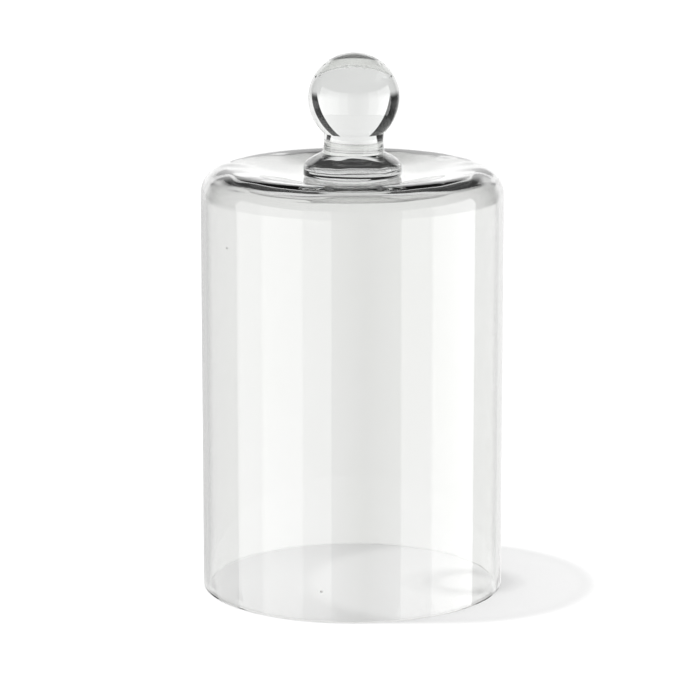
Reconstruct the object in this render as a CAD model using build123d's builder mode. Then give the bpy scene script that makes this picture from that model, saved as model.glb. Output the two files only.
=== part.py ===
from build123d import *

import math
import os

# Free-standing bell jar dome in clear blown glass: a straight wall with an open, fire-polished
# rim, a rounded shoulder, a gently dished crown, and a solid glass knob fused to the middle of
# the crown. The knob is a foot pad, a short collar and a ball, each its own gather of glass.
# Millimetres. +Z is up along the jar's axis, and the origin is the middle of the rim, on the
# surface that the jar stands on. Every piece is a solid of revolution about Z, and neighbours
# meet face to face on flat discs, where the real pieces are fused.

# Driving dimensions of the dome
body_radius = 75.0  # outside of the straight wall
wall = 3.0  # blown wall, even over its straight length
crown_height = 212.5  # top of the rounded shoulder, the highest ring of the crown
shoulder_radius = 13.4  # outside of the shoulder
dish_depth = 5.0  # how far the middle of the crown lies below that ring
crown_thickness = 4.2  # glass of the crown, from the shoulder to under the knob
rim_edge_radius = 1.0  # fire-polished edges, inside and outside

# Driving dimensions of the knob
foot_radius = 24.2
foot_side_height = 6.9  # its outer side, before its top slopes in to the collar
foot_height = 12.1
foot_lower_edge_radius = 1.7
foot_upper_edge_radius = 5.0
collar_radius = 15.0  # where it meets the ball
collar_waist_radius = 14.7
collar_base_radius = 15.4  # where it flares onto the foot
ball_radius = 22.6
ball_centre_height = 246.2

# Places that follow from them
inner_radius = body_radius - wall
shoulder_centre_radius = body_radius - shoulder_radius
shoulder_start = crown_height - shoulder_radius
inner_shoulder_radius = inner_radius - shoulder_centre_radius
inner_crown_height = crown_height - crown_thickness
inner_shoulder_start = inner_crown_height - inner_shoulder_radius
seal_height = crown_height - dish_depth
seal_radius = foot_radius + 1.5
under_seal_height = seal_height - crown_thickness
collar_start = seal_height + foot_height
ball_flat_drop = math.sqrt(ball_radius**2 - collar_radius**2)
collar_end = ball_centre_height - ball_flat_drop
overall_height = ball_centre_height + ball_radius

# In each section below, a point is (radius, height).
outwards = (1, 0)
inwards = (-1, 0)

# Dome: the section of the glass, from the axis over the crown, down the wall, round the rim and
# back up the inside. The crown eases from its highest ring into the flat disc under the knob.
with BuildPart() as dome_shell:
    with BuildSketch(Plane.XZ):
        with BuildLine():
            Line((0, under_seal_height), (0, seal_height))
            Line((0, seal_height), (seal_radius, seal_height))
            Spline(
                (seal_radius, seal_height),
                (shoulder_centre_radius, crown_height),
                tangents=(outwards, outwards),
            )
            RadiusArc(
                (shoulder_centre_radius, crown_height),
                (body_radius, shoulder_start),
                shoulder_radius,
            )
            Line((body_radius, shoulder_start), (body_radius, rim_edge_radius))
            RadiusArc(
                (body_radius, rim_edge_radius),
                (body_radius - rim_edge_radius, 0),
                rim_edge_radius,
            )
            Line((body_radius - rim_edge_radius, 0), (inner_radius + rim_edge_radius, 0))
            RadiusArc(
                (inner_radius + rim_edge_radius, 0),
                (inner_radius, rim_edge_radius),
                rim_edge_radius,
            )
            Line((inner_radius, rim_edge_radius), (inner_radius, inner_shoulder_start))
            RadiusArc(
                (inner_radius, inner_shoulder_start),
                (shoulder_centre_radius, inner_crown_height),
                -inner_shoulder_radius,
            )
            Spline(
                (shoulder_centre_radius, inner_crown_height),
                (seal_radius, under_seal_height),
                tangents=(inwards, inwards),
            )
            Line((seal_radius, under_seal_height), (0, under_seal_height))
        make_face()
    revolve(axis=Axis.Z)

# Foot: a bull-nosed pad whose top slopes in to the collar
with BuildPart() as knob_foot:
    with BuildSketch(Plane.XZ) as foot_section:
        with BuildLine():
            Polyline(
                (0, seal_height),
                (foot_radius, seal_height),
                (foot_radius, seal_height + foot_side_height),
                (collar_base_radius, collar_start),
                (0, collar_start),
                close=True,
            )
        make_face()
        outer_corners = foot_section.vertices().group_by(Axis.X)[-1].sort_by(Axis.Y)
        fillet(outer_corners[0], foot_lower_edge_radius)
        fillet(outer_corners[1], foot_upper_edge_radius)
    revolve(axis=Axis.Z)

# Collar: slightly waisted, with its base flared
with BuildPart() as knob_collar:
    with BuildSketch(Plane.XZ):
        with BuildLine():
            Line((0, collar_start), (collar_base_radius, collar_start))
            ThreePointArc(
                (collar_base_radius, collar_start),
                (collar_waist_radius, (collar_start + collar_end) / 2),
                (collar_radius, collar_end),
            )
            Line((collar_radius, collar_end), (0, collar_end))
            Line((0, collar_end), (0, collar_start))
        make_face()
    revolve(axis=Axis.Z)

# Ball: a full sphere, flat only where it is fused to the collar
with BuildPart() as knob_ball:
    with BuildSketch(Plane.XZ):
        with BuildLine():
            Line((0, overall_height), (0, collar_end))
            Line((0, collar_end), (collar_radius, collar_end))
            ThreePointArc(
                (collar_radius, collar_end),
                (ball_radius, ball_centre_height),
                (0, overall_height),
            )
        make_face()
    revolve(axis=Axis.Z)

pieces = {
    "dome_shell": dome_shell,
    "knob_foot": knob_foot,
    "knob_collar": knob_collar,
    "knob_ball": knob_ball,
}
os.makedirs("parts", exist_ok=True)
for name, piece in pieces.items():
    piece.part.label = name
    export_step(piece.part, f"parts/{name}.step")
    print(name, round(piece.part.volume), "mm3")
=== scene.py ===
import math

import bmesh
import bpy
from mathutils import Matrix, Vector

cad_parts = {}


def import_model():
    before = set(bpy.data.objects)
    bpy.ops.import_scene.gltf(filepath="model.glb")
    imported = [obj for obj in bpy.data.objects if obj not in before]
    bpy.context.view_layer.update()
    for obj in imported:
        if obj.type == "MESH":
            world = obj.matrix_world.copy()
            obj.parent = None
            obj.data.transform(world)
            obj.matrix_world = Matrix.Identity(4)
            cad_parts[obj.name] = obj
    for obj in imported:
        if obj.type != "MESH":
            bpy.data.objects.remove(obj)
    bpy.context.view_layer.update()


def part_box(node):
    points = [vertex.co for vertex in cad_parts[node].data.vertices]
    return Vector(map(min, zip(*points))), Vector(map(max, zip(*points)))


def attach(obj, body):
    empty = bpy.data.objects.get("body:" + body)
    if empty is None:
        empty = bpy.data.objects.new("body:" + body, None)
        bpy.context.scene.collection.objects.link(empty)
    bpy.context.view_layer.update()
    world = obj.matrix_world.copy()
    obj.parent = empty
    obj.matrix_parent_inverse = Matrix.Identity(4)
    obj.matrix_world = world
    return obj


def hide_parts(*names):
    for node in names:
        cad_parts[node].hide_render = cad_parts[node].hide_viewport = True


# The looks of a hand-blown clear glass bell jar: a thin shell and a solid knob of three fused
# gathers, standing on a white table in a bright studio. Metres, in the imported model's frame.

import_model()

MM = 0.001

# The shell, as in the CAD model
SHELL_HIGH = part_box("dome_shell")[1]
BODY_RADIUS = SHELL_HIGH.x
CROWN_HEIGHT = SHELL_HIGH.z
WALL = 3.0 * MM
SHOULDER_RADIUS = 13.4 * MM
CROWN_THICKNESS = 4.2 * MM
RIM_EDGE_RADIUS = 1.0 * MM

# The knob
FOOT_LOW, FOOT_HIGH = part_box("knob_foot")
FOOT_RADIUS = FOOT_HIGH.x
FOOT_SIDE_HEIGHT = 6.9 * MM
FOOT_LOWER_EDGE_RADIUS = 1.7 * MM
FOOT_UPPER_EDGE_RADIUS = 5.0 * MM
COLLAR_LOW, COLLAR_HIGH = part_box("knob_collar")
COLLAR_BASE_RADIUS = COLLAR_HIGH.x
COLLAR_WAIST_RADIUS = 14.7 * MM
COLLAR_RADIUS = 15.0 * MM
BALL_LOW, BALL_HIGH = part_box("knob_ball")
BALL_RADIUS = 22.6 * MM
BALL_CENTRE = BALL_HIGH.z - BALL_RADIUS

# The crown's flat middle, and the disc of it that the foot is sealed to
FLAT_BESIDE_FOOT = 1.5 * MM
SEAL_HEIGHT = FOOT_LOW.z
SEAL_RADIUS = FOOT_RADIUS - FOOT_LOWER_EDGE_RADIUS
DISC_RADIUS = FOOT_RADIUS + FLAT_BESIDE_FOOT

# How uneven the hand-made glass is. Waves are (how many round the axis, size, where they start).
LEAN = 0.8 * MM
CROWN_WAVES = ((5, 0.08 * MM, 0.6), (9, 0.05 * MM, 2.0), (17, 0.03 * MM, 4.1))
CROWN_WAVES_WIDTH = 16.0 * MM
RIM_WAVES = ((11, 0.10 * MM, 0.3), (19, 0.07 * MM, 1.9), (37, 0.04 * MM, 5.0))
RIM_WAVES_HEIGHT = 9.0 * MM
FOOT_WAVES = ((3, 0.30 * MM, 1.57), (7, 0.10 * MM, 0.8), (13, 0.06 * MM, 2.6))
FOOT_WAVES_WIDTH = 4.0 * MM
# Marks of the tools on the ball: height over its centre, depth, width, and from where to where
# they go on each side of the front, in radians. Each fades at its ends and is beaded along it.
TOOL_MARKS = (
    (11.7 * MM, 0.16 * MM, 0.5 * MM, 0.75, 1.25),
    (17.6 * MM, 0.10 * MM, 0.6 * MM, 0.0, 2.0),
)
TOOL_MARK_WAVES = ((11, 0.5 * MM, 0.0), (29, 0.2 * MM, 1.0))
TOOL_MARK_END = 0.1
TOOL_MARK_BEADS, TOOL_MARK_BEADING = 23, 0.6
# Air bubbles in the wall: compass, height, radius
SEEDS = ((-0.955, 179.4 * MM, 0.5 * MM), (-0.206, 15.4 * MM, 0.6 * MM))

# The glass. Clouds are (how many in a metre, detail), and edges are (where, softness).
IOR = 1.5
TINT_CLOUDS, TINT_EDGE = (22, 3), (0.55, 0.3)
DULL_CLOUDS, DULL_EDGE = (45, 6), (0.64, 0.16)
DULL_ROUGHNESS = 0.006
WAVE_CLOUDS = (60, 2)
EDGE_SHADE = 0.1

# The meshes
AROUND = 320
SHARP = math.radians(25)
LEVEL = 1e-7


# ---------------------------------------------------------------- outlines, as (radius, height)


def line(a, b, steps):
    return [
        (a[0] + (b[0] - a[0]) * i / steps, a[1] + (b[1] - a[1]) * i / steps)
        for i in range(steps)
    ]


def arc(centre, radius, start, end, steps):
    """Points on a circle from start to end, in degrees from outwards towards up."""
    points = []
    for i in range(steps):
        angle = math.radians(start + (end - start) * i / steps)
        points.append(
            (centre[0] + radius * math.cos(angle), centre[1] + radius * math.sin(angle))
        )
    return points


def ease(a, b, steps):
    """A curve that leaves a level and arrives at b level."""
    points = []
    for i in range(steps):
        t = i / steps
        s = t * t * (3 - 2 * t)
        points.append((a[0] + (b[0] - a[0]) * t, a[1] + (b[1] - a[1]) * s))
    return points


# ---------------------------------------------------------------- unevenness


def fade(value, start, end):
    """0 up to start, 1 from end on, and a soft change between."""
    t = min(max((value - start) / (end - start), 0), 1)
    return t * t * (3 - 2 * t)


def waves(angle, parts):
    """Unevenness round the axis: a sum of waves, each (how many, size, where it starts)."""
    return sum(size * math.sin(count * angle + start) for count, size, start in parts)


def polar(point):
    """A point's distance from the axis and its compass from the camera's side."""
    return math.hypot(point.x, point.y), math.atan2(point.x, -point.y)


def moved(point, outwards, upwards):
    distance = math.hypot(point.x, point.y)
    if distance > 0:
        point.x += outwards * point.x / distance
        point.y += outwards * point.y / distance
    point.z += upwards
    return point


def leaning(point):
    """The knob leans a little to one side. All its pieces follow, so that they stay joined."""
    point.x += LEAN * fade(point.z, SEAL_HEIGHT, COLLAR_HIGH.z)
    return point


# ---------------------------------------------------------------- meshes


def turn(name, outline, materials, seal, shape, seeds=()):
    """A closed piece turned about the axis. The outline starts and ends on the axis. Faces on
    the flat discs in seal, a list of (height, radius), get the second material. shape moves a
    point of the finished surface by hand-made unevenness. seeds are air bubbles in the glass,
    as (compass, distance from the axis, height, radius)."""
    mesh = bmesh.new()
    first = mesh.verts.new((0, 0, outline[0][1]))
    last = mesh.verts.new((0, 0, outline[-1][1]))
    angles = [2 * math.pi * j / AROUND for j in range(AROUND)]
    loops = [
        [mesh.verts.new((radius * math.cos(a), radius * math.sin(a), height)) for a in angles]
        for radius, height in outline[1:-1]
    ]
    for j in range(AROUND):
        k = (j + 1) % AROUND
        mesh.faces.new((first, loops[0][k], loops[0][j]))
        mesh.faces.new((last, loops[-1][j], loops[-1][k]))
        for lower, upper in zip(loops, loops[1:]):
            mesh.faces.new((lower[j], lower[k], upper[k], upper[j]))
    bmesh.ops.recalc_face_normals(mesh, faces=mesh.faces)
    for face in mesh.faces:
        face.smooth = True
        middle = face.calc_center_median()
        for height, radius in seal:
            level = all(abs(v.co.z - height) < LEVEL for v in face.verts)
            if level and math.hypot(middle.x, middle.y) < radius:
                face.material_index = 1
    for edge in mesh.edges:
        if edge.calc_face_angle() > SHARP:
            edge.smooth = False
    for vert in mesh.verts:
        vert.co = shape(vert.co.copy())
    for compass, distance, height, radius in seeds:
        at = (distance * math.sin(compass), -distance * math.cos(compass), height)
        made = bmesh.ops.create_icosphere(
            mesh, subdivisions=3, radius=radius, matrix=Matrix.Translation(at)
        )
        for face in {face for vert in made["verts"] for face in vert.link_faces}:
            face.smooth = True
            face.normal_flip()
    return piece_of(name, mesh, materials)


def piece_of(name, mesh, materials):
    data = bpy.data.meshes.new(name)
    mesh.to_mesh(data)
    mesh.free()
    for material in materials:
        data.materials.append(material)
    piece = bpy.data.objects.new(name, data)
    bpy.context.scene.collection.objects.link(piece)
    return piece


# ---------------------------------------------------------------- node sums


class Sums:
    """Arithmetic on node sockets, so that a pattern reads like the formula that it is. Edges
    are (where, softness) and windows are (low, high, softness)."""

    def __init__(self, tree):
        self.tree = tree

    def node(self, kind, **settings):
        made = self.tree.nodes.new(kind)
        for key, value in settings.items():
            setattr(made, key, value)
        return made

    def math(self, operation, *values):
        made = self.node("ShaderNodeMath", operation=operation)
        for socket, value in zip(made.inputs, values):
            if isinstance(value, (int, float)):
                socket.default_value = value
            else:
                self.tree.links.new(value, socket)
        return made.outputs[0]

    def step(self, value, edge, softness):
        """0 below the edge and 1 above it, with a soft change between."""
        made = self.node("ShaderNodeMapRange", interpolation_type="SMOOTHSTEP")
        self.tree.links.new(value, made.inputs["Value"])
        made.inputs["From Min"].default_value = edge - softness / 2
        made.inputs["From Max"].default_value = edge + softness / 2
        return made.outputs[0]

    def window(self, value, low, high, softness):
        """1 between low and high, and 0 outside."""
        return self.math(
            "MULTIPLY",
            self.step(value, low, softness),
            self.math("SUBTRACT", 1, self.step(value, high, softness)),
        )

    def mix(self, share, a, b):
        """a where share is 0 and b where it is 1."""
        return self.math(
            "ADD",
            self.math("MULTIPLY", self.math("SUBTRACT", 1, share), a),
            self.math("MULTIPLY", share, b),
        )

    def more_than(self, count, number):
        """1 where count, a whole number, is more than number."""
        return self.math("GREATER_THAN", count, number + 0.5)

    def grey(self, level):
        """The same level in red, green and blue."""
        made = self.node("ShaderNodeCombineColor")
        for socket in made.inputs:
            self.tree.links.new(level, socket)
        return made.outputs[0]

    def clouds(self, per_metre, detail, stretch=(1, 1, 1)):
        """Soft random clouds, 0 to 1, fixed to the object."""
        place = self.node("ShaderNodeTexCoord")
        mapping = self.node("ShaderNodeMapping")
        mapping.inputs["Scale"].default_value = stretch
        self.tree.links.new(place.outputs["Object"], mapping.inputs["Vector"])
        made = self.node("ShaderNodeTexNoise")
        made.inputs["Scale"].default_value = per_metre
        made.inputs["Detail"].default_value = detail
        self.tree.links.new(mapping.outputs[0], made.inputs["Vector"])
        return made.outputs["Fac"]


# ---------------------------------------------------------------- materials

# A Mix node has a set of sockets for each kind of value, and these are the ones for colours
MIX_SHARE, MIX_A, MIX_B, MIX_RESULT = 0, 6, 7, 2


def new_material(name):
    material = bpy.data.materials.new(name)
    material.use_nodes = True
    return material, material.node_tree.nodes, material.node_tree.links


def clear_glass(name, tint, streaks, passes, wave_depth, wave_stretch):
    """Glass that bends and mirrors what is seen through it, made by hand: its tint runs a little
    in streaks, its surface is a little wavy, and handling has left it a little dull in places.
    A lamp's light passes straight through it, dimmed at each face, and more where it meets the
    glass edge on."""
    material, nodes, links = new_material(name)
    sums = Sums(material.node_tree)
    glass = nodes["Principled BSDF"]
    glass.inputs["Transmission Weight"].default_value = 1.0
    glass.inputs["IOR"].default_value = IOR

    tints = sums.node("ShaderNodeMix", data_type="RGBA")
    tints.inputs[MIX_A].default_value = (*tint, 1)
    tints.inputs[MIX_B].default_value = (*streaks, 1)
    streaky = sums.step(sums.clouds(*TINT_CLOUDS, wave_stretch), *TINT_EDGE)
    links.new(streaky, tints.inputs[MIX_SHARE])
    links.new(tints.outputs[MIX_RESULT], glass.inputs["Base Color"])

    dull = sums.step(sums.clouds(*DULL_CLOUDS), *DULL_EDGE)
    links.new(sums.math("MULTIPLY", dull, DULL_ROUGHNESS), glass.inputs["Roughness"])

    bump = nodes.new("ShaderNodeBump")
    bump.inputs["Strength"].default_value = 1.0
    bump.inputs["Distance"].default_value = wave_depth
    links.new(sums.clouds(*WAVE_CLOUDS, wave_stretch), bump.inputs["Height"])
    links.new(bump.outputs[0], glass.inputs["Normal"])

    facing = nodes.new("ShaderNodeLayerWeight")
    facing.inputs["Blend"].default_value = 0.5
    edge_on = sums.math("MULTIPLY", facing.outputs["Facing"], EDGE_SHADE)
    clear = nodes.new("ShaderNodeBsdfTransparent")
    links.new(sums.grey(sums.math("SUBTRACT", passes, edge_on)), clear.inputs["Color"])
    path = nodes.new("ShaderNodeLightPath")
    mix = nodes.new("ShaderNodeMixShader")
    links.new(path.outputs["Is Shadow Ray"], mix.inputs["Fac"])
    links.new(glass.outputs[0], mix.inputs[1])
    links.new(clear.outputs[0], mix.inputs[2])
    links.new(mix.outputs[0], nodes["Material Output"].inputs["Surface"])
    return material


def fused():
    """Where two gathers of glass have run together there is no surface to see."""
    material, nodes, links = new_material("fused_seam")
    nodes.remove(nodes["Principled BSDF"])
    clear = nodes.new("ShaderNodeBsdfTransparent")
    links.new(clear.outputs[0], nodes["Material Output"].inputs["Surface"])
    return material


SHELL_GLASS = clear_glass(
    "shell_glass",
    tint=(0.881, 0.883, 0.877),
    streaks=(0.875, 0.879, 0.868),
    passes=0.965,
    wave_depth=0.015 * MM,
    wave_stretch=(1, 1, 0.25),
)
KNOB_GLASS = clear_glass(
    "knob_glass",
    tint=(0.945, 0.953, 0.944),
    streaks=(0.93, 0.942, 0.926),
    passes=0.93,
    wave_depth=0.04 * MM,
    wave_stretch=(1, 1, 0.6),
)
FUSED = fused()


# ---------------------------------------------------------------- the pieces


def shell():
    inner_radius = BODY_RADIUS - WALL
    ring = BODY_RADIUS - SHOULDER_RADIUS
    start = CROWN_HEIGHT - SHOULDER_RADIUS
    inner_corner = inner_radius - ring
    inner_top = CROWN_HEIGHT - CROWN_THICKNESS
    inner_start = inner_top - inner_corner
    under_seal = SEAL_HEIGHT - CROWN_THICKNESS
    middle = BODY_RADIUS - WALL / 2
    edge = RIM_EDGE_RADIUS
    outline = (
        line((0, SEAL_HEIGHT), (SEAL_RADIUS, SEAL_HEIGHT), 6)
        + line((SEAL_RADIUS, SEAL_HEIGHT), (DISC_RADIUS, SEAL_HEIGHT), 4)
        + ease((DISC_RADIUS, SEAL_HEIGHT), (ring, CROWN_HEIGHT), 24)
        + arc((ring, start), SHOULDER_RADIUS, 90, 0, 28)
        + line((BODY_RADIUS, start), (BODY_RADIUS, edge), 60)
        + arc((BODY_RADIUS - edge, edge), edge, 0, -90, 7)
        + line((BODY_RADIUS - edge, 0), (inner_radius + edge, 0), 2)
        + arc((inner_radius + edge, edge), edge, 270, 180, 7)
        + line((inner_radius, edge), (inner_radius, inner_start), 60)
        + arc((ring, inner_start), inner_corner, 0, 90, 26)
        + ease((ring, inner_top), (DISC_RADIUS, under_seal), 24)
        + line((DISC_RADIUS, under_seal), (0, under_seal), 8)
        + [(0, under_seal)]
    )

    def shape(point):
        """Waves in the crown's inside, strongest over the shoulder, and in the inner wall close
        to the rim."""
        distance, angle = polar(point)
        under_crown = point.z < inner_top + 0.3 * MM and distance < inner_radius + 0.1 * MM
        crown = fade(point.z, start, inner_top)
        crown *= fade(distance, ring - CROWN_WAVES_WIDTH, ring)
        upwards = crown * waves(angle, CROWN_WAVES) if under_crown else 0
        rim = fade(-point.z, -RIM_WAVES_HEIGHT, 0) if distance < middle else 0
        rim *= fade(point.z, 0, edge)
        return moved(point, rim * waves(angle, RIM_WAVES), upwards)

    return turn(
        "shell_glass",
        outline,
        [SHELL_GLASS, FUSED],
        [(SEAL_HEIGHT, SEAL_RADIUS)],
        shape,
        [(compass, middle, height, radius) for compass, height, radius in SEEDS],
    )


def foot():
    low, high = FOOT_LOW.z, FOOT_HIGH.z
    side = low + FOOT_SIDE_HEIGHT
    slope = math.atan2(high - side, FOOT_RADIUS - COLLAR_BASE_RADIUS)
    upper = FOOT_UPPER_EDGE_RADIUS
    lower = FOOT_LOWER_EDGE_RADIUS
    # The upper edge's circle touches the side and the slope
    bend = math.pi / 2 - slope
    cut = upper * math.tan(bend / 2)
    centre = (FOOT_RADIUS - upper, side - cut)
    end = 90 - math.degrees(slope)
    touch = (
        centre[0] + upper * math.cos(math.radians(end)),
        centre[1] + upper * math.sin(math.radians(end)),
    )
    outline = (
        line((0, low), (SEAL_RADIUS, low), 6)
        + arc((SEAL_RADIUS, low + lower), lower, -90, 0, 10)
        + line((FOOT_RADIUS, low + lower), (FOOT_RADIUS, side - cut), 4)
        + arc(centre, upper, 0, end, 16)
        + line(touch, (COLLAR_BASE_RADIUS, high), 12)
        + line((COLLAR_BASE_RADIUS, high), (0, high), 4)
        + [(0, high)]
    )

    def shape(point):
        """Waves in the upper side, and none where the collar sits or the foot is sealed."""
        distance, angle = polar(point)
        outside = fade(distance, COLLAR_BASE_RADIUS, COLLAR_BASE_RADIUS + FOOT_WAVES_WIDTH)
        rise = outside * fade(point.z, low + lower, side) * waves(angle, FOOT_WAVES)
        return leaning(moved(point, 0, rise))

    return turn(
        "knob_foot_glass",
        outline,
        [KNOB_GLASS, FUSED],
        [(low, SEAL_RADIUS), (high, COLLAR_BASE_RADIUS)],
        shape,
    )


def collar():
    low, high = COLLAR_LOW.z, COLLAR_HIGH.z
    middle = (COLLAR_BASE_RADIUS + COLLAR_RADIUS) / 2
    outline = line((0, low), (COLLAR_BASE_RADIUS, low), 4)
    steps = 24
    for i in range(steps):
        t = i / steps
        straight = COLLAR_BASE_RADIUS + (COLLAR_RADIUS - COLLAR_BASE_RADIUS) * t
        waist = (middle - COLLAR_WAIST_RADIUS) * 4 * t * (1 - t)
        outline.append((straight - waist, low + (high - low) * t))
    outline += line((COLLAR_RADIUS, high), (0, high), 4) + [(0, high)]
    return turn(
        "knob_collar_glass",
        outline,
        [KNOB_GLASS, FUSED],
        [(low, COLLAR_BASE_RADIUS), (high, COLLAR_RADIUS)],
        leaning,
    )


def ball():
    low = BALL_LOW.z
    start = math.degrees(math.atan2(low - BALL_CENTRE, COLLAR_RADIUS))
    outline = (
        line((0, low), (COLLAR_RADIUS, low), 4)
        + arc((0, BALL_CENTRE), BALL_RADIUS, start, 90, 200)
        + [(0, BALL_HIGH.z)]
    )

    def shape(point):
        """Dents where the tools turned the ball."""
        angle = polar(point)[1]
        turned = abs(angle)
        dent = 0.0
        for above, depth, width, begins, ends in TOOL_MARKS:
            mark_height = BALL_CENTRE + above + waves(angle, TOOL_MARK_WAVES)
            near = math.exp(-(((point.z - mark_height) / width) ** 2))
            within = fade(turned, begins, begins + TOOL_MARK_END)
            within *= 1 - fade(turned, ends, ends + TOOL_MARK_END)
            beads = 1 + TOOL_MARK_BEADING * math.sin(TOOL_MARK_BEADS * angle)
            dent += depth * near * within * beads
        return leaning(moved(point, -dent, 0))

    return turn("knob_ball_glass", outline, [KNOB_GLASS, FUSED], [(low, COLLAR_RADIUS)], shape)


for make, node, slot in (
    (shell, "dome_shell", "shell_glass"),
    (foot, "knob_foot", "knob_glass"),
    (collar, "knob_collar", "knob_glass"),
    (ball, "knob_ball", "knob_glass"),
):
    piece = make()
    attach(piece, "root")
    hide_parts(node)


# ---------------------------------------------------------------- studio

FLOOR_RADIUS = 6.0
TABLE_WHITE = 0.95
AMBIENT = 0.45
# The lamp, nearly overhead and a little to the left, so that the shadow falls just to the right
KEY = 0.80
KEY_SIZE = math.radians(2.5)
KEY_DIRECTION = (0.052, 0.0, -0.212)
# The white surroundings, as they show through the shell
WHITE = 1.055

# What the glass mirrors on the camera's side: strips of the studio, by compass in degrees round
# the jar, 0 towards the camera and positive to the right, with a brightness at each end.
STRIPS = (
    (-98, -73, 2.1, 2.2),
    (-73, -38.5, 2.9, 2.7),
    (-38.5, -16, 2.0, 1.8),
    (-16, 10, 0.9, 0.2),
    (10, 37.5, 0.2, 0.9),
    (37.5, 63.5, 2.0, 2.0),
    (63.5, 106, 3.0, 3.2),
)
STRIP_SOFTNESS = 0.8

# Beyond the strips: the sides, in a band of heights, and behind the jar the table, the sweep and
# a panel overhead. Outer faces of the glass mirror one set and inner faces the other, because
# the table lies between them. side and table are levels at the left and at the right.
OUTER = {
    "strip_top": (20.0, 6.0),
    "above": 0.05,
    "side": (0.7, 0.3),
    "table": (0.92, 1.2),
    "sweep": 1.4,
    "sweep_top": (26.0, 10.0),
    "below": (-48.0, 6.0),
    "overhead": 0.05,
}
INNER = {
    "strip_top": (-4.0, 6.0),
    "above": 0.3,
    "side": (1.3, 2.2),
    "table": (0.8, 1.0),
    "sweep": 0.98,
    "sweep_top": (15.0, 5.0),
    "below": (-22.0, 6.0),
    "overhead": 0.85,
}
# Edges and windows, in degrees of compass from the camera's side
LEFT_TO_RIGHT = (0.0, 20.0)
BEHIND = (143.0, 16.0)
# Edges and windows, in degrees of height
SIDES = (-17.5, -7.0, 3.0)
SWEEP_LOW = (-22.0, 5.0)
TABLE_END = (-2.0, 6.0)
OVERHEAD = (41.0, 51.0, 4.0)
# Levels
BELOW_LEVEL = 0.95
DARK = 0.05
LOST_PER_MIRRORING = 0.62
MIRRORED_IN_BACK_WALL = 0.8

# What shows through the solid knob: the far side of the studio, by height and by compass in
# degrees, 0 straight behind the jar and positive to the right. The backdrop's two edges lean by
# so many degrees for each degree of height, and past each of them it is dark for some way. It
# reaches its side level at BACKDROP_SIDE, and goes on to BACKDROP_SIDE_MOST times the way there.
TABLE_HORIZON = (-10.0, 8.0)
TABLE_LEVEL = 0.8
BACKDROP_LEVEL, BACKDROP_SIDE_LEVEL = 0.88, 1.05
BACKDROP_SIDE, BACKDROP_SIDE_MOST = 35.0, 1.3
BACKDROP_LEFT, LEFT_LEAN = -36.0, 0.36
BACKDROP_RIGHT, RIGHT_LEAN = 38.0, -0.45
DARK_LEFT, DARK_LEFT_LEVEL = (0.0, 38.0, 1.0), 0.01
DARK_RIGHT, DARK_RIGHT_LEVEL = (0.0, 17.0, 1.0), 0.04
# Steeper than this, nothing lit is seen through any glass
STEEP = (-57.0, 4.0)

# A long lens two strides away and a little above, aimed at the middle of the wall
SENSOR, LENS = 36.0, 182.5
EYE = Vector((-0.0012, -1.729, 0.496))
AIM = Vector((-0.0012, 0.0, 0.1197))

BOUNCES, SEAM_BOUNCES = 24, 16


def floor():
    """A white table. Outside the jar's footprint, paths that have met glass look past it to the
    studio. Within the footprint, only those that crossed a seam or more than three faces do."""
    mesh = bmesh.new()
    bmesh.ops.create_circle(mesh, cap_ends=True, segments=96, radius=FLOOR_RADIUS)
    material, nodes, links = new_material("white_table")
    plane = piece_of("floor", mesh, [material])
    white = nodes["Principled BSDF"]
    white.inputs["Base Color"].default_value = (TABLE_WHITE, TABLE_WHITE, TABLE_WHITE, 1)
    white.inputs["Roughness"].default_value = 1.0
    white.inputs["Specular IOR Level"].default_value = 0.0

    sums = Sums(material.node_tree)
    path = nodes.new("ShaderNodeLightPath")
    mirrored_in_glass = sums.more_than(path.outputs["Glossy Depth"], 0)
    through_glass = sums.more_than(path.outputs["Transmission Depth"], 0)
    through_many = sums.more_than(path.outputs["Transmission Depth"], 3)
    through_seams = sums.more_than(path.outputs["Transparent Depth"], 0)
    place = nodes.new("ShaderNodeNewGeometry")
    distance = sums.node("ShaderNodeVectorMath", operation="LENGTH")
    links.new(place.outputs["Position"], distance.inputs[0])
    outside = sums.math("GREATER_THAN", distance.outputs["Value"], BODY_RADIUS)
    hidden = sums.mix(
        outside,
        sums.math("MAXIMUM", through_many, through_seams),
        sums.math("MAXIMUM", through_glass, mirrored_in_glass),
    )
    clear = nodes.new("ShaderNodeBsdfTransparent")
    mix = nodes.new("ShaderNodeMixShader")
    links.new(hidden, mix.inputs["Fac"])
    links.new(white.outputs[0], mix.inputs[1])
    links.new(clear.outputs[0], mix.inputs[2])
    links.new(mix.outputs[0], nodes["Material Output"].inputs["Surface"])


def strips(sums, front):
    """The brightness of the strips on the camera's side."""
    total = 0.0
    for low, high, at_low, at_high in STRIPS:
        share = sums.math("DIVIDE", sums.math("SUBTRACT", front, low), high - low)
        level = sums.mix(share, at_low, at_high)
        strip = sums.math("MULTIPLY", sums.window(front, low, high, STRIP_SOFTNESS), level)
        total = sums.math("ADD", total, strip)
    return total


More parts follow.
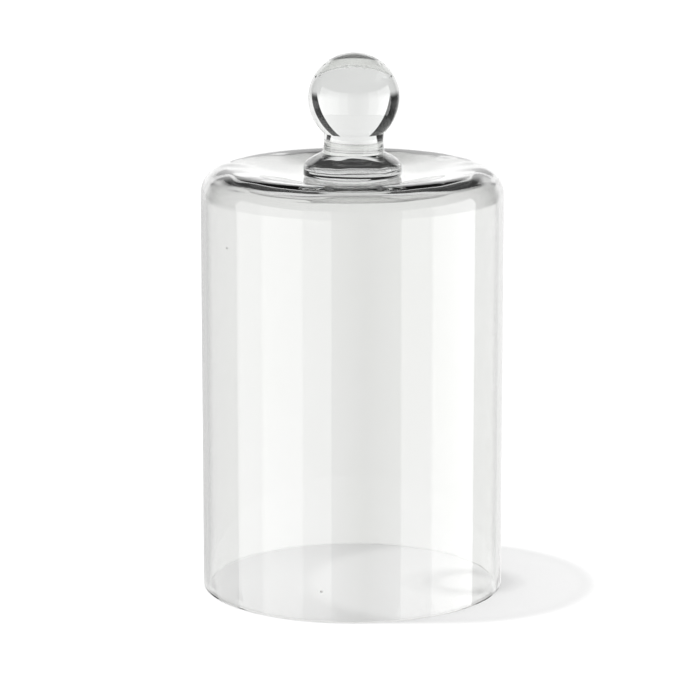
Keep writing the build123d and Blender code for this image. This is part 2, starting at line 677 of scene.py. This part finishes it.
def mirrored(sums, front, height, levels):
    """What a face of the glass mirrors, by compass from the camera's side and by height."""
    near = sums.mix(sums.step(height, *levels["strip_top"]), strips(sums, front), levels["above"])
    right = sums.step(front, *LEFT_TO_RIGHT)
    side = sums.mix(sums.window(height, *SIDES), DARK, sums.mix(right, *levels["side"]))
    table = sums.mix(right, *levels["table"])
    behind = sums.mix(sums.step(height, *TABLE_END), table, levels["sweep"])
    lit = sums.math(
        "SUBTRACT", sums.step(height, *SWEEP_LOW), sums.step(height, *levels["sweep_top"])
    )
    behind = sums.mix(lit, DARK, behind)
    overhead = sums.math("MULTIPLY", sums.window(height, *OVERHEAD), levels["overhead"])
    behind = sums.math("MAXIMUM", behind, overhead)
    far = sums.mix(sums.step(sums.math("ABSOLUTE", front), *BEHIND), side, behind)
    within = sums.window(front, STRIPS[0][0], STRIPS[-1][1], STRIP_SOFTNESS)
    return sums.mix(within, far, near)


def reflection(sums, front, height, path):
    """What is mirrored, by outer faces and by inner faces. Light that meets several inner faces
    on its way loses some at each."""
    crossings, mirrorings = path.outputs["Transmission Depth"], path.outputs["Glossy Depth"]
    outer = mirrored(sums, front, height, OUTER)
    outer = sums.mix(sums.step(height, *OUTER["below"]), BELOW_LEVEL, outer)
    inner = mirrored(sums, front, height, INNER)
    inner = sums.mix(sums.more_than(crossings, 2), inner, MIRRORED_IN_BACK_WALL)
    lost = sums.math("POWER", LOST_PER_MIRRORING, sums.math("SUBTRACT", mirrorings, 1))
    inner = sums.math("MULTIPLY", inner, lost)
    inner = sums.mix(sums.step(height, *INNER["below"]), BELOW_LEVEL, inner)
    return sums.mix(sums.more_than(crossings, 0), outer, inner)


def seen_through_knob(sums, back, height):
    """What shows through the ball and the collar."""
    left_edge = sums.math("MULTIPLY_ADD", height, LEFT_LEAN, BACKDROP_LEFT)
    right_edge = sums.math("MULTIPLY_ADD", height, RIGHT_LEAN, BACKDROP_RIGHT)
    past_left = sums.window(sums.math("SUBTRACT", left_edge, back), *DARK_LEFT)
    past_right = sums.window(sums.math("SUBTRACT", back, right_edge), *DARK_RIGHT)
    sideways = sums.math("DIVIDE", sums.math("ABSOLUTE", back), BACKDROP_SIDE)
    sideways = sums.math("MINIMUM", sums.math("POWER", sideways, 2), BACKDROP_SIDE_MOST)
    backdrop = sums.mix(sideways, BACKDROP_LEVEL, BACKDROP_SIDE_LEVEL)
    backdrop = sums.mix(past_left, backdrop, DARK_LEFT_LEVEL)
    backdrop = sums.mix(past_right, backdrop, DARK_RIGHT_LEVEL)
    return sums.mix(sums.step(height, *TABLE_HORIZON), TABLE_LEVEL, backdrop)


def world():
    """The studio, by direction, and by what a path met on its way: nothing, faces of glass that
    mirrored it or let it through, or the table, which it lights evenly."""
    studio = bpy.data.worlds.new("studio")
    bpy.context.scene.world = studio
    studio.use_nodes = True
    studio.cycles.sampling_method = "NONE"
    nodes, links = studio.node_tree.nodes, studio.node_tree.links
    sums = Sums(studio.node_tree)
    path = nodes.new("ShaderNodeLightPath")
    place = nodes.new("ShaderNodeTexCoord")
    split = nodes.new("ShaderNodeSeparateXYZ")
    links.new(place.outputs["Generated"], split.inputs[0])
    x, y, z = split.outputs

    def degrees(angle):
        return sums.math("MULTIPLY", angle, 180 / math.pi)

    height = degrees(sums.math("ARCSINE", z))
    front = degrees(sums.math("ARCTAN2", x, sums.math("MULTIPLY", y, -1)))
    back = degrees(sums.math("ARCTAN2", x, y))
    crossed = sums.more_than(path.outputs["Transmission Depth"], 0)
    crossed_shell = sums.more_than(path.outputs["Transmission Depth"], 2)
    reflected = sums.more_than(path.outputs["Glossy Depth"], 0)
    scattered = sums.more_than(path.outputs["Diffuse Depth"], 0)

    through = sums.mix(crossed_shell, seen_through_knob(sums, back, height), WHITE)
    through = sums.mix(sums.step(height, *STEEP), DARK, through)
    in_glass = sums.mix(reflected, through, reflection(sums, front, height, path))
    plain = sums.mix(path.outputs["Is Camera Ray"], AMBIENT, WHITE)
    level = sums.mix(sums.math("MAXIMUM", crossed, reflected), plain, in_glass)
    level = sums.mix(scattered, level, AMBIENT)
    links.new(sums.grey(level), nodes["Background"].inputs["Color"])


def key_light():
    lamp = bpy.data.lights.new("key", "SUN")
    lamp.angle = KEY_SIZE
    toward = Vector(KEY_DIRECTION).normalized()
    lamp.energy = KEY * math.pi / -toward.z
    holder = bpy.data.objects.new("key", lamp)
    bpy.context.scene.collection.objects.link(holder)
    # The lamp itself is not seen in the glass, and its light is not counted twice behind it
    holder.visible_glossy = False
    holder.visible_transmission = False
    holder.rotation_mode = "QUATERNION"
    holder.rotation_quaternion = toward.to_track_quat("-Z", "Y")


def camera():
    data = bpy.data.cameras.new("camera")
    data.sensor_width = SENSOR
    data.lens = LENS
    data.clip_end = 50
    eye = bpy.data.objects.new("camera", data)
    bpy.context.scene.collection.objects.link(eye)
    eye.location = EYE
    eye.rotation_mode = "QUATERNION"
    eye.rotation_quaternion = (AIM - EYE).to_track_quat("-Z", "Y")
    bpy.context.scene.camera = eye


floor()
world()
key_light()
camera()
bpy.context.scene.view_settings.view_transform = "Standard"
light_paths = bpy.context.scene.cycles
light_paths.max_bounces = BOUNCES
light_paths.glossy_bounces = BOUNCES
light_paths.transmission_bounces = BOUNCES
light_paths.transparent_max_bounces = SEAM_BOUNCES
